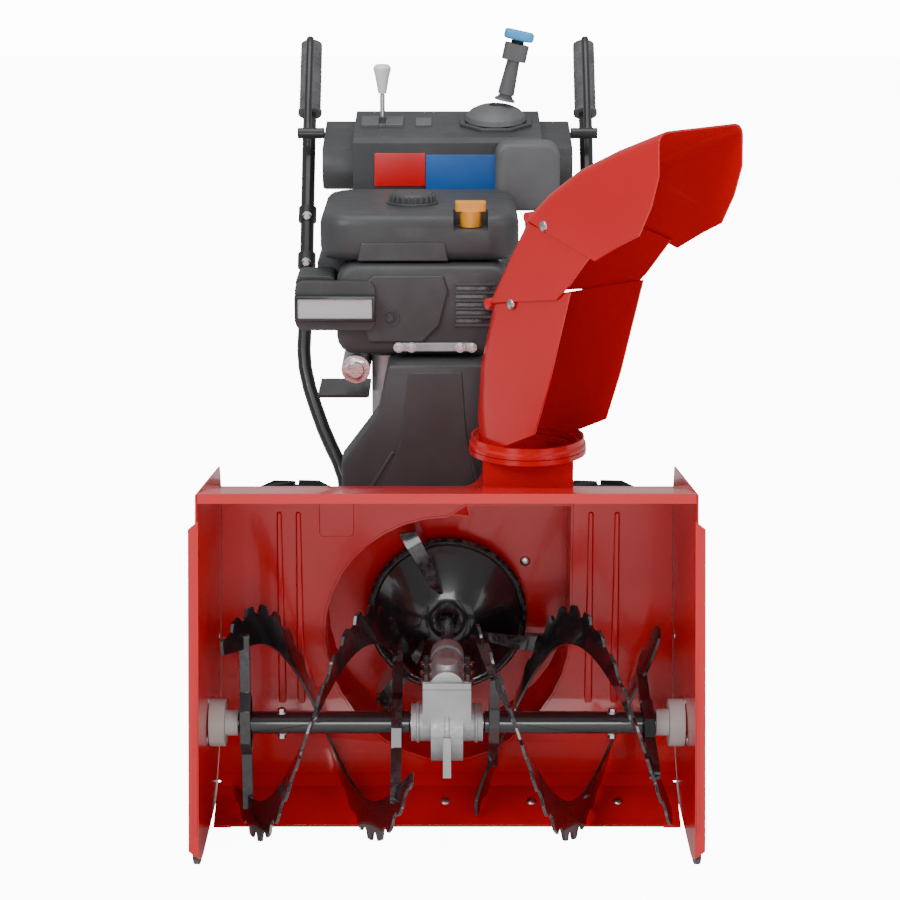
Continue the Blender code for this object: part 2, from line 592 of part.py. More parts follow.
def build_controls(bodies, plastic, white, orange, blue, cover, steel):
    pivot = SPEED_PIVOT
    rod = cylinder("Z", pivot, 0.0045, pivot.z + 0.0050, pivot.z + 0.0460, 12)
    add("speed_lever", rod, steel, bodies["speed_lever"], pivot)
    knob = [(0.0470, 0.0), (0.0470, 0.0075), (0.0760, 0.0125), (0.0930, 0.0165), (0.0990, 0.0120),
            (0.0990, 0.0)]
    knob = [(pivot.z + along, max(radius, 0.0015)) for along, radius in knob]
    add("speed_knob", turned(knob, "Z", (pivot.x, pivot.y, 0.0), 18), white, bodies["speed_lever"], pivot)

    pivot = STICK_PIVOT
    lean = Matrix.Translation(pivot) @ Matrix.Rotation(STICK_LEAN, 4, "Y")

    def leaned(bm):
        bmesh.ops.transform(bm, verts=bm.verts, matrix=lean)
        return bm

    collar = [(0.0740, 0.0090), (0.0740, 0.0200), (0.0790, 0.0170), (0.0790, 0.0090)]
    add("joystick_collar", leaned(turned(collar, "Z", Vector(), 20)), cover, bodies["joystick_gimbal"], pivot)
    grip = cylinder("Z", Vector(), 0.0150, 0.0860, 0.1500, 20, 0.0115)
    node = add("joystick_stick", leaned(grip), cover, bodies["joystick_stick"], pivot)
    head = rounded_block((-0.0220, -0.0140, 0.1480), (0.0220, 0.0140, 0.1780), 0.010)
    combine(node, leaned(head), "UNION", bodies["joystick_stick"], pivot)
    cap = rounded_block((-0.0270, -0.0165, 0.1848), (0.0270, 0.0165, 0.2020), 0.012)
    node = add("joystick_trigger", leaned(cap), blue, bodies["joystick_trigger"], pivot)
    bevel(node, 0.004, 2)

    pivot = FUEL_CAP
    cap = [(TANK_TOP - 0.0050, 0.0), (TANK_TOP - 0.0050, 0.0370), (TANK_TOP + 0.0140, 0.0365),
           (TANK_TOP + 0.0180, 0.0320), (TANK_TOP + 0.0180, 0.0)]
    cap = [(along, max(radius, 0.002)) for along, radius in cap]
    add("fuel_cap", turned(cap, "Z", pivot, 28), plastic, bodies["fuel_cap"], pivot)
    pivot = OIL_CAP
    stem = cylinder("Z", pivot, 0.0180, 0.8690, 0.8960, 20)
    node = add("oil_fill_cap", stem, orange, bodies["oil_cap"], pivot)
    low = (pivot.x - 0.0250, pivot.y - 0.0120, 0.8945)
    wing = rounded_block(low, (pivot.x + 0.0250, pivot.y + 0.0120, 0.9100), 0.006)
    combine(node, wing, "UNION", bodies["oil_cap"], pivot)

    pivot = RECOIL_HANDLE
    half = Vector((0.045, 0.011, 0.011))
    centre = pivot + Vector((0.0, 0.011, 0.0))
    pull = rounded_block(centre - half, centre + half, 0.009, "X")
    add("recoil_handle", pull, cover, bodies["recoil_handle"], pivot)
    pivot = CHOKE_KNOB
    body = bodies["choke_knob"]
    node = add("choke_knob", cylinder("Y", pivot, 0.0160, pivot.y, pivot.y + 0.010, 20), cover, body, pivot)
    half = Vector((0.003, 0.007, 0.015))
    centre = pivot + Vector((0.0, 0.015, 0.0))
    combine(node, box(centre - half, centre + half), "UNION", body, pivot)


def main():
    clear_scene()
    red = paint("red_paint", (0.62, 0.012, 0.018), 0.28)
    gloss = paint("gloss_black", (0.012, 0.012, 0.014), 0.22)
    black = paint("black_paint", (0.022, 0.022, 0.025), 0.40)
    plastic = paint("charcoal_plastic", (0.060, 0.062, 0.066), 0.50)
    cover = paint("grey_plastic", (0.110, 0.112, 0.116), 0.55)
    light = paint("light_plastic", (0.55, 0.54, 0.52), 0.50)
    rubber = paint("rubber", (0.020, 0.020, 0.020), 0.80)
    soft = paint("grip_rubber", (0.070, 0.070, 0.074), 0.75)
    steel = paint("zinc_steel", (0.55, 0.55, 0.56), 0.35, 0.9)
    aluminium = paint("cast_aluminium", (0.62, 0.63, 0.64), 0.45, 0.9)
    brass = paint("brass", (0.70, 0.48, 0.20), 0.35, 1.0)
    orange = paint("orange_plastic", (0.90, 0.36, 0.04), 0.45)
    blue = paint("blue_plastic", (0.10, 0.45, 0.80), 0.45)
    white = paint("white_plastic", (0.85, 0.85, 0.83), 0.40)
    lens = paint("clear_lens", (0.85, 0.87, 0.90), 0.08)

    machine = empty("machine", ORIGIN)
    auger = empty("auger", AUGER_AXIS, machine)
    impeller = empty("impeller_body", IMPELLER_AXIS, machine)
    crank = empty("crank", CRANK_AXIS, machine)
    chute = empty("chute", CHUTE_AXIS, machine, CHUTE_REST_TURN)
    mid = empty("deflector_mid_body", MID_PIVOT, chute)
    top = empty("deflector_top_body", TOP_PIVOT - MID_PIVOT, mid)
    sides = (("left", -1.0), ("right", 1.0))
    wheels = []
    levers = []
    for name, side in sides:
        hub = WHEEL_AXLE + Vector((side * WHEEL_CENTRE_X, 0.0, 0.0))
        wheels.append((name, side, empty(f"wheel_{name}", hub, machine)))
        pivot = LEVER_PIVOT + Vector((side * HANDLE_X, 0.0, 0.0))
        levers.append((name, side, empty(f"lever_{name}", pivot, machine)))
    places = {
        "speed_lever": SPEED_PIVOT,
        "joystick_gimbal": STICK_PIVOT,
        "joystick_stick": STICK_PIVOT,
        "joystick_trigger": STICK_PIVOT,
        "fuel_cap": FUEL_CAP,
        "oil_cap": OIL_CAP,
        "recoil_handle": RECOIL_HANDLE,
        "choke_knob": CHOKE_KNOB,
    }
    bodies = {name: empty(f"{name}_body", place, machine) for name, place in places.items()}

    build_housing(machine, red, black, light)
    build_gearbox(machine, aluminium)
    build_auger(auger, gloss, steel, brass)
    build_impeller(impeller, gloss, steel, black)
    build_chute(chute, mid, top, red)
    build_drive(machine, wheels, black, steel, rubber)
    build_engine(machine, crank, black, plastic, steel, aluminium, lens)
    build_handles(machine, levers, black, soft)
    build_console(machine, plastic, cover, steel)
    build_controls(bodies, plastic, white, orange, blue, cover, steel)


main()
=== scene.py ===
"""The looks of a two stage snowblower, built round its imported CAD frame."""
import json
from math import cos, pi, radians, sin

import bmesh
import bpy
from mathutils import Matrix, Vector


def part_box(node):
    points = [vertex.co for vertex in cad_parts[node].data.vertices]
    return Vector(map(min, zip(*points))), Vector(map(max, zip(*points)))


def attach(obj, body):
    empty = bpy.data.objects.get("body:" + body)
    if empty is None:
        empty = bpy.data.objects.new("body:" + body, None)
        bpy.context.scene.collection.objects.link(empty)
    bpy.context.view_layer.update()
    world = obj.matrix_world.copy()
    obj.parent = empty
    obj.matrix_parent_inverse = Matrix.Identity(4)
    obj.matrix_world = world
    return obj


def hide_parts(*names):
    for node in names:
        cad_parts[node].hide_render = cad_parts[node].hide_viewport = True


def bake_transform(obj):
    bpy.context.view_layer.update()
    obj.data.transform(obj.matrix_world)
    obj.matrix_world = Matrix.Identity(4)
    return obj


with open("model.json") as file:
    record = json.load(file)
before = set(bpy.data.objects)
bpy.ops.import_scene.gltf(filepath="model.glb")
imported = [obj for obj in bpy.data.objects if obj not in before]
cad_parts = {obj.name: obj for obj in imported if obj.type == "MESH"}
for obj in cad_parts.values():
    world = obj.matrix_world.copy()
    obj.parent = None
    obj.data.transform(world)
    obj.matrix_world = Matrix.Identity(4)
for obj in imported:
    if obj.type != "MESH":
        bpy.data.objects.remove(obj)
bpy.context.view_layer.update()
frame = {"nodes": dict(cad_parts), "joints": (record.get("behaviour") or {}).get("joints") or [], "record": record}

BODIES = frame["record"]["behaviour"]["bodies"]
NODE_BODY = {node: body for body, nodes in BODIES.items() for node in nodes}
NODE_SLOT = {row["node"]: row["material_slot"] for row in frame["record"]["subparts"]}
JOINTS = {joint["name"]: joint for joint in frame["joints"]}


def joint_place(name):
    """Where a joint turns, in the row frame."""
    return Vector(JOINTS[name]["pos_m"])


AUGER = joint_place("auger_spin")
IMPELLER = joint_place("impeller_spin")
CENTRE_X = AUGER.x
FRONT_Y = AUGER.y - 0.170  # the front edge of the auger housing
CHUTE = joint_place("chute_turn")
CHUTE_TURN = radians(40.0)
STICK_LEAN = radians(12.5)
PANEL_TILT = radians(8.45)  # slope of the console's top
PANEL_TOP = 0.9815
HANDLE_X = 0.256
GRIP_PATH = ((1.2115, 0.9835), (1.240, 1.020), (1.275, 1.065), (1.305, 1.106))  # (y, z) along each grip
CLAMP_BAR = ((1.000, 0.665), (1.150, 0.905))  # (y, z) ends of the straight run that the clamps hold
CLAMP_SHARES = (0.30, 0.62)
SHEAR_BOLT_X = 0.250
TANK_CAP = (-0.058, 0.730)
STARTER_PULL = (0.105, 0.9175, 0.690)
LAMP_FIRST_X, LAMP_PITCH, LAMP_Z = -0.2310, 0.0200, 0.750
BLADE_TURNS = (100.0, -20.0, -140.0)
UP = (0.0, 0.0, 1.0)
ACROSS = (1.0, 0.0, 0.0)
BACKWARD = (0.0, 1.0, 0.0)
FORWARD = (0.0, -1.0, 0.0)


# ---------------------------------------------------------------- materials

class Shade:
    """A Principled material with helpers for the node chains that give it its detail."""

    def __init__(self, name, colour, roughness, metallic=0.0, coat=0.0, ior=1.5):
        self.material = bpy.data.materials.new(name)
        self.material.use_nodes = True
        self.nodes = self.material.node_tree.nodes
        self.links = self.material.node_tree.links
        self.shader = self.nodes["Principled BSDF"]
        self.shader.inputs["Base Color"].default_value = (*colour, 1.0)
        self.shader.inputs["Roughness"].default_value = roughness
        self.shader.inputs["Metallic"].default_value = metallic
        self.shader.inputs["Coat Weight"].default_value = coat
        self.shader.inputs["Coat Roughness"].default_value = 0.06
        self.shader.inputs["IOR"].default_value = ior
        self.colour = colour
        self.place = self.nodes.new("ShaderNodeTexCoord")
        self.normal = None

    def noise(self, scale, detail=3.0, stretch=None):
        texture = self.nodes.new("ShaderNodeTexNoise")
        texture.inputs["Scale"].default_value = scale
        texture.inputs["Detail"].default_value = detail
        source = self.place.outputs["Object"]
        if stretch:
            mapping = self.nodes.new("ShaderNodeMapping")
            mapping.inputs["Scale"].default_value = stretch
            self.links.new(source, mapping.inputs["Vector"])
            source = mapping.outputs["Vector"]
        self.links.new(source, texture.inputs["Vector"])
        return texture.outputs["Fac"]

    def voronoi(self, scale):
        texture = self.nodes.new("ShaderNodeTexVoronoi")
        texture.inputs["Scale"].default_value = scale
        self.links.new(self.place.outputs["Object"], texture.inputs["Vector"])
        return texture.outputs["Distance"]

    def ramp(self, value, low, high, start, end):
        """Map value from start..end onto the colours or numbers low..high."""
        ramp = self.nodes.new("ShaderNodeValToRGB")
        ramp.color_ramp.elements[0].position = start
        ramp.color_ramp.elements[1].position = end
        for element, tone in zip(ramp.color_ramp.elements, (low, high)):
            element.color = (*tone, 1.0) if isinstance(tone, tuple) else (tone, tone, tone, 1.0)
        self.links.new(value, ramp.inputs["Fac"])
        return ramp.outputs["Color"]

    def vary_colour(self, scale, amount, detail=3.0, stretch=None):
        dark = tuple(channel * (1.0 - amount) for channel in self.colour)
        light = tuple(min(channel * (1.0 + amount), 1.0) for channel in self.colour)
        value = self.ramp(self.noise(scale, detail, stretch), dark, light, 0.35, 0.65)
        self.links.new(value, self.shader.inputs["Base Color"])
        return self

    def vary_roughness(self, scale, low, high, stretch=None):
        value = self.ramp(self.noise(scale, 4.0, stretch), low, high, 0.3, 0.7)
        self.links.new(value, self.shader.inputs["Roughness"])
        return self

    def tint_convex_edges(self, colour, reach=(0.53, 0.60)):
        """Lighter or darker tone on convex edges, broken up by noise."""
        geometry = self.nodes.new("ShaderNodeNewGeometry")
        convex_mask = self.ramp(geometry.outputs["Pointiness"], 0.0, 1.0, *reach)
        broken = self.nodes.new("ShaderNodeMath")
        broken.operation = "MULTIPLY"
        self.links.new(convex_mask, broken.inputs[0])
        self.links.new(self.ramp(self.noise(90.0), 0.0, 1.0, 0.42, 0.60), broken.inputs[1])
        mix = self.nodes.new("ShaderNodeMix")
        mix.data_type = "RGBA"
        base = self.shader.inputs["Base Color"]
        mix.inputs["A"].default_value = base.default_value
        if base.links:
            self.links.new(base.links[0].from_socket, mix.inputs["A"])
        mix.inputs["B"].default_value = (*colour, 1.0)
        self.links.new(broken.outputs[0], mix.inputs["Factor"])
        self.links.new(mix.outputs["Result"], base)
        return self

    def bump(self, height, distance, strength=1.0):
        bump = self.nodes.new("ShaderNodeBump")
        bump.inputs["Strength"].default_value = strength
        bump.inputs["Distance"].default_value = distance
        self.links.new(height, bump.inputs["Height"])
        if self.normal:
            self.links.new(self.normal, bump.inputs["Normal"])
        self.normal = bump.outputs["Normal"]
        self.links.new(self.normal, self.shader.inputs["Normal"])
        return self


def paint_material(name, colour, roughness, coat):
    """Powder coat: soft orange peel under a clear gloss, with faint mottling."""
    shade = Shade(name, colour, roughness, coat=coat)
    shade.vary_colour(5.0, 0.03)
    shade.vary_roughness(6.0, roughness * 0.9, roughness * 1.12)
    shade.bump(shade.noise(420.0, 2.0), 0.00006, 0.35)
    shade.bump(shade.noise(5.0, 0.0), 0.0008, 0.3)
    return shade


def plastic_material(name, colour, roughness, grain=1400.0):
    """Moulded plastic with a fine spark-eroded grain and handling marks."""
    shade = Shade(name, colour, roughness)
    shade.vary_colour(12.0, 0.10)
    shade.vary_roughness(30.0, roughness * 0.85, min(roughness * 1.2, 1.0))
    shade.bump(shade.voronoi(grain), 0.00012, 0.45)
    return shade


def metal_material(name, colour, roughness, stretch=None):
    """Bare or plated metal, brushed along one direction if stretch is given."""
    shade = Shade(name, colour, roughness, metallic=1.0)
    shade.vary_colour(25.0, 0.10)
    shade.vary_roughness(60.0, roughness * 0.7, roughness * 1.4, stretch)
    shade.bump(shade.noise(600.0, 3.0, stretch), 0.00008, 0.4)
    return shade


def cast_material(name):
    """Sand-blasted cast aluminium: light, grainy, darker in its pits."""
    shade = Shade(name, (0.40, 0.41, 0.42), 0.40, metallic=0.55)
    shade.vary_colour(30.0, 0.08, 4.0)
    shade.vary_roughness(200.0, 0.30, 0.55)
    shade.bump(shade.voronoi(700.0), 0.0001, 0.4)
    shade.bump(shade.noise(45.0, 3.0), 0.0006, 0.4)
    return shade


def rubber_material(name, colour, roughness):
    """Dull rubber with a fine rough surface."""
    shade = Shade(name, colour, roughness, ior=1.45)
    shade.vary_colour(40.0, 0.25)
    shade.vary_roughness(80.0, roughness * 0.85, 0.95)
    shade.bump(shade.noise(900.0, 3.0), 0.0001, 0.3)
    return shade


def lens_material(name):
    """Clear moulded window with faint upright ripples."""
    shade = Shade(name, (0.93, 0.95, 0.97), 0.06, coat=0.6)
    shade.shader.inputs["Transmission Weight"].default_value = 0.55
    shade.bump(shade.noise(60.0, 1.0, (18.0, 1.0, 1.0)), 0.0006, 0.6)
    return shade


MATERIALS = {
    "red_paint": paint_material("red_powder_coat", (0.60, 0.002, 0.006), 0.24, 0.25).material,
    # gloss black gets a lighter grey tone on its convex edges, broken up by noise
    "gloss_black": paint_material("gloss_black_enamel", (0.010, 0.010, 0.012), 0.20, 0.7)
    .tint_convex_edges((0.10, 0.10, 0.11)).material,
    "black_paint": paint_material("satin_black_enamel", (0.018, 0.018, 0.020), 0.34, 0.25).material,
    "charcoal_plastic": plastic_material("charcoal_moulding", (0.048, 0.050, 0.054), 0.46).material,
    "grey_plastic": plastic_material("grey_moulding", (0.105, 0.108, 0.114), 0.48).material,
    "light_plastic": plastic_material("bearing_nylon", (0.50, 0.48, 0.46), 0.42).material,
    "tyre_rubber": rubber_material("tyre_rubber", (0.018, 0.018, 0.019), 0.78).material,
    "grip_rubber": rubber_material("grip_rubber", (0.110, 0.111, 0.118), 0.60).material,
    "zinc_steel": metal_material("zinc_plate", (0.60, 0.60, 0.61), 0.28, (1.0, 1.0, 8.0)).material,
    "cast_aluminium": cast_material("cast_aluminium").material,
    "brass": metal_material("bronze_gear", (0.70, 0.46, 0.20), 0.30).material,
    "orange_plastic": plastic_material("orange_moulding", (0.88, 0.34, 0.03), 0.36).material,
    "blue_plastic": plastic_material("blue_moulding", (0.06, 0.36, 0.78), 0.34).material,
    "white_plastic": plastic_material("white_moulding", (0.82, 0.83, 0.82), 0.32).material,
    "clear_lens": lens_material("lamp_lens").material,
}


# ---------------------------------------------------------------- mesh helpers


def piece(name, bm, slot, body, bevel=0.0, segments=2, smooth=35.0):
    """Turn a mesh into a visible piece that takes a record slot's finish and rides on a body."""
    mesh = bpy.data.meshes.new(name)
    bm.to_mesh(mesh)
    bm.free()
    made = bpy.data.objects.new(name, mesh)
    bpy.context.scene.collection.objects.link(made)
    mesh.materials.append(MATERIALS[slot])
    mesh.shade_smooth()
    mesh.set_sharp_from_angle(angle=radians(smooth))
    if bevel:
        modifier = made.modifiers.new("edge_radius", "BEVEL")
        modifier.width = bevel
        modifier.segments = segments
        modifier.limit_method = "ANGLE"
        modifier.angle_limit = radians(32.0)
        modifier.harden_normals = False
    if body:
        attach(made, body)
    return made


def node_mesh(node):
    """A welded copy of a CAD node's mesh, with its flat faces made whole again."""
    bm = bmesh.new()
    bm.from_mesh(frame["nodes"][node].data)
    bmesh.ops.remove_doubles(bm, verts=bm.verts, dist=0.00002)
    bmesh.ops.dissolve_limit(bm, angle_limit=radians(1.0), verts=bm.verts, edges=bm.edges)
    return bm


def dress(node, bevel=0.0008, smooth=35.0):
    """Stand a CAD node in with the same shape, edges rounded and smooth shaded."""
    made = piece(f"{node}_finished", node_mesh(node), NODE_SLOT[node], NODE_BODY[node], bevel, 2, smooth)
    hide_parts(node)
    return made


def at(x, y, z):
    """A point given from the housing's front edge, centre line and ground."""
    return Vector((CENTRE_X + x, FRONT_Y + y, z))


def join_rings(bm, rings, closed=False):
    """Skin equal rings of vertices into one closed body, or into a loop."""
    pairs = list(zip(rings, rings[1:]))
    if closed:
        pairs.append((rings[-1], rings[0]))
    else:
        bm.faces.new(rings[0][::-1])
        bm.faces.new(rings[-1])
    for low, high in pairs:
        count = len(low)
        for k in range(count):
            bm.faces.new((low[k], low[(k + 1) % count], high[(k + 1) % count], high[k]))
    bmesh.ops.recalc_face_normals(bm, faces=bm.faces)


def lathe(bm, profile, centre, axis, sides=32, start=0.0):
    """Turn (along, radius) points round an axis; a radius of zero closes on it."""
    turn = Vector(axis).to_track_quat("Z", "Y").to_matrix()
    rings = []
    for along, radius in profile:
        ring = []
        for k in range(sides):
            angle = start + 2 * pi * k / sides
            point = Vector((max(radius, 0.00005) * cos(angle), max(radius, 0.00005) * sin(angle), along))
            ring.append(bm.verts.new(centre + turn @ point))
        rings.append(ring)
    join_rings(bm, rings)


def hex_bolt(bm, place, axis, radius=0.006, height=0.005):
    """Flanged hexagon head standing on a surface."""
    lathe(bm, [(-0.001, radius * 1.35), (0.0012, radius * 1.35)], place, axis, 20)
    head = [(0.001, radius), (height, radius), (height + 0.0006, radius * 0.86)]
    lathe(bm, head, place, axis, 6)


def carriage_bolt(bm, place, axis, radius=0.008):
    """Low domed head."""
    profile = [(-0.001, radius)]
    profile += [(radius * 0.42 * sin(t), radius * cos(t)) for t in (0.0, 0.4, 0.8, 1.2, 1.5)]
    lathe(bm, profile, place, axis, 20)


def block(bm, low, high):
    """Box between two corners, given as at() takes them."""
    corners = [at(x, y, z) for z in (low[2], high[2]) for x, y in
               ((low[0], low[1]), (high[0], low[1]), (high[0], high[1]), (low[0], high[1]))]
    verts = [bm.verts.new(corner) for corner in corners]
    join_rings(bm, [verts[:4], verts[4:]])


def plate(bm, outline, axis, low, high):
    """Prism of (a, b) points along Y, as (x, z), or along X, as (y, z), or along Z, as (x, y)."""
    order = {"X": (2, 0, 1), "Y": (0, 2, 1), "Z": (0, 1, 2)}[axis]
    rings = []
    for depth in (low, high):
        spots = [(a, b, depth) for a, b in outline]
        rings.append([bm.verts.new(at(*(spot[k] for k in order))) for spot in spots])
    join_rings(bm, rings)


def tube(bm, points, radius, sides=12, steps=4):
    """Round bar along a smoothed path of at() points."""
    path = []
    for k in range(len(points) - 1):
        a, b = points[k], points[k + 1]
        before = points[k - 1] if k else a
        after = points[k + 2] if k + 2 < len(points) else b
        for step in range(steps):
            t = step / steps
            path.append(0.5 * ((2 * a) + (b - before) * t + (2 * before - 5 * a + 4 * b - after) * t * t
                               + (3 * a - before - 3 * b + after) * t ** 3))
    path.append(points[-1])
    rings = []
    for k, point in enumerate(path):
        along = (path[min(k + 1, len(path) - 1)] - path[max(k - 1, 0)]).normalized()
        side = along.cross(Vector((0.31, 0.11, 0.94))).normalized()
        up = along.cross(side)
        turns = [2 * pi * j / sides for j in range(sides)]
        rings.append([bm.verts.new(point + radius * (side * cos(turn) + up * sin(turn))) for turn in turns])
    join_rings(bm, rings)


def bosses(name, spots, axis, slot, body, radius=0.006, height=0.005, domed=False):
    """One piece holding a row of bolt heads at the given places."""
    bm = bmesh.new()
    for spot in spots:
        if domed:
            carriage_bolt(bm, at(*spot), axis, radius)
        else:
            hex_bolt(bm, at(*spot), axis, radius, height)
    return piece(name, bm, slot, body, 0.0003)


# ---------------------------------------------------------------- augers and impeller

CRANK_X = -0.015
CRANK_Z = 0.600
RECOIL_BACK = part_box("recoil_starter_cover")[1][1] - FRONT_Y
AUGER_RADIUS = 0.178
FLIGHT_LEAD = 0.348
TOOTH_PITCH = radians(17.0)
TOOTH_DEPTH = 0.013


def flight_edge(angle):
    """Outer radius of a serrated flight: square topped teeth with sloping flanks."""
    phase = (angle % TOOTH_PITCH) / TOOTH_PITCH
    notch = min(max((abs(phase - 0.5) - 0.20) / 0.10, 0.0), 1.0)
    return AUGER_RADIUS - TOOTH_DEPTH * (1.0 - notch)


def serrated_flight(bm, side, start, end, phase):
    """Helical ribbon with notched outer edge and a slightly rolled inner one."""
    steps = 150
    rings = []
    for step in range(steps + 1):
        share = step / steps
        x = start + (end - start) * share
        angle = phase + side * 2 * pi * (x - start) / FLIGHT_LEAD
        radial = Vector((0.0, -sin(angle), cos(angle)))
        taper = min(share, 1.0 - share) / 0.10
        inner = 0.118 + 0.030 * max(1.0 - taper, 0.0) ** 2
        outer = flight_edge(angle - phase)
        half = 0.0024
        section = ((inner, -half), (0.5 * (inner + outer), -half - 0.0004), (outer, -half), (outer, half),
                   (0.5 * (inner + outer), half - 0.0004), (inner, half))
        rings.append([bm.verts.new(AUGER + Vector((x + shift, 0.0, 0.0)) + radial * radius)
                      for radius, shift in section])
    join_rings(bm, rings)


def auger_strap(bm, x, angle, face):
    """Flat bar bent round one face of the tube, reaching out to both flights."""
    outline = [(-0.140, 0.003), (-0.050, 0.003), (-0.026, 0.0205), (0.026, 0.0205), (0.050, 0.003),
               (0.140, 0.003)]
    turn = Matrix.Rotation(angle, 3, "X")
    rings = []
    for reach, lift in outline:
        ring = []
        for across, thick in ((-0.008, 0.0), (0.008, 0.0), (0.008, 0.0045), (-0.008, 0.0045)):
            point = Vector((across + x, face * (lift + thick - 0.0015), reach))
            ring.append(bm.verts.new(AUGER + turn @ point))
        rings.append(ring)
    join_rings(bm, rings)


def augers():
    """Both halves of the auger: two notched flights, two straps a side and the tube with its shear bolt."""
    outer = 0.3145
    for name, side, start, end, phase in (
        ("left", -1.0, -0.330, -0.050, radians(207.0)),
        ("right", 1.0, 0.045, 0.330, radians(14.0)),
    ):
        bm = bmesh.new()
        for turn in (0.0, pi):
            serrated_flight(bm, side, start, end, phase + turn)
        made = piece(f"auger_{name}_flights", bm, "gloss_black", "auger", 0.0006, 2, 30.0)
        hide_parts(f"auger_{name}")
        bm = bmesh.new()
        low, high = sorted((side * 0.0555, side * outer))
        profile = [(low, 0.0155), (low + 0.0015, 0.017), (high - 0.0015, 0.017), (high, 0.0155)]
        lathe(bm, profile, AUGER, ACROSS, 40)
        for x in (start + 0.026, end - 0.026):
            angle = phase + side * 2 * pi * (x - start) / FLIGHT_LEAD
            for face in (-1.0, 1.0):
                auger_strap(bm, x, angle, face)
        piece(f"auger_{name}_tube", bm, "gloss_black", "auger", 0.0006)
        bm = bmesh.new()
        shear = AUGER + Vector((side * SHEAR_BOLT_X, 0.0, 0.0))
        hex_bolt(bm, shear + Vector((0.0, 0.0, 0.0165)), UP, 0.0062, 0.006)
        hex_bolt(bm, shear - Vector((0.0, 0.0, 0.0165)), (0.0, 0.0, -1.0), 0.0066, 0.008)
        piece(f"auger_{name}_shear_bolt", bm, "zinc_steel", "auger", 0.0003)


def impeller_scoop(bm, turn):
    """Channel shaped blade: a flat back web with a lip turned forward along its leading side."""
    tilt = Matrix.Rotation(-radians(turn), 3, "Y")
    rings = []
    stations = ((0.050, -0.004, 0.004), (0.070, -0.022, 0.014), (0.115, -0.031, 0.022),
                (0.150, -0.034, 0.026), (0.168, -0.026, 0.026))
    for radius, front, lip in stations:
        lean = 1.6 * (radius - 0.050) ** 2
        section = ((front, lip), (front, -0.002), (0.047, -0.002), (0.047, 0.0015), (front + 0.004, 0.0015),
                   (front + 0.004, lip))
        rings.append([bm.verts.new(IMPELLER + tilt @ Vector((radius, along, lean + across)))
                      for along, across in section])
    join_rings(bm, rings)


def impeller():
    """Dished disc with three channel shaped blades."""
    bm = bmesh.new()
    dish = [(0.045, 0.0128), (0.012, 0.0132), (0.008, 0.019), (0.006, 0.032), (0.010, 0.046), (0.022, 0.080),
            (0.0335, 0.108), (0.037, 0.117), (0.034, 0.121), (0.0335, 0.126), (0.038, 0.130), (0.043, 0.128),
            (0.048, 0.118), (0.051, 0.0128)]
    lathe(bm, dish, IMPELLER, BACKWARD, 72)
    piece("impeller_dish", bm, "gloss_black", NODE_BODY["impeller"], 0.0, 2, 32.0)
    bm = bmesh.new()
    for turn in BLADE_TURNS:
        impeller_scoop(bm, turn)
    made = piece("impeller_blades", bm, "gloss_black", NODE_BODY["impeller"], 0.0007)
    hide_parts("impeller")


# ---------------------------------------------------------------- housing and gearbox


def half_width(z):
    """Outer half width of the auger housing, which narrows slightly upwards."""
    return 0.365 - 0.026 * z


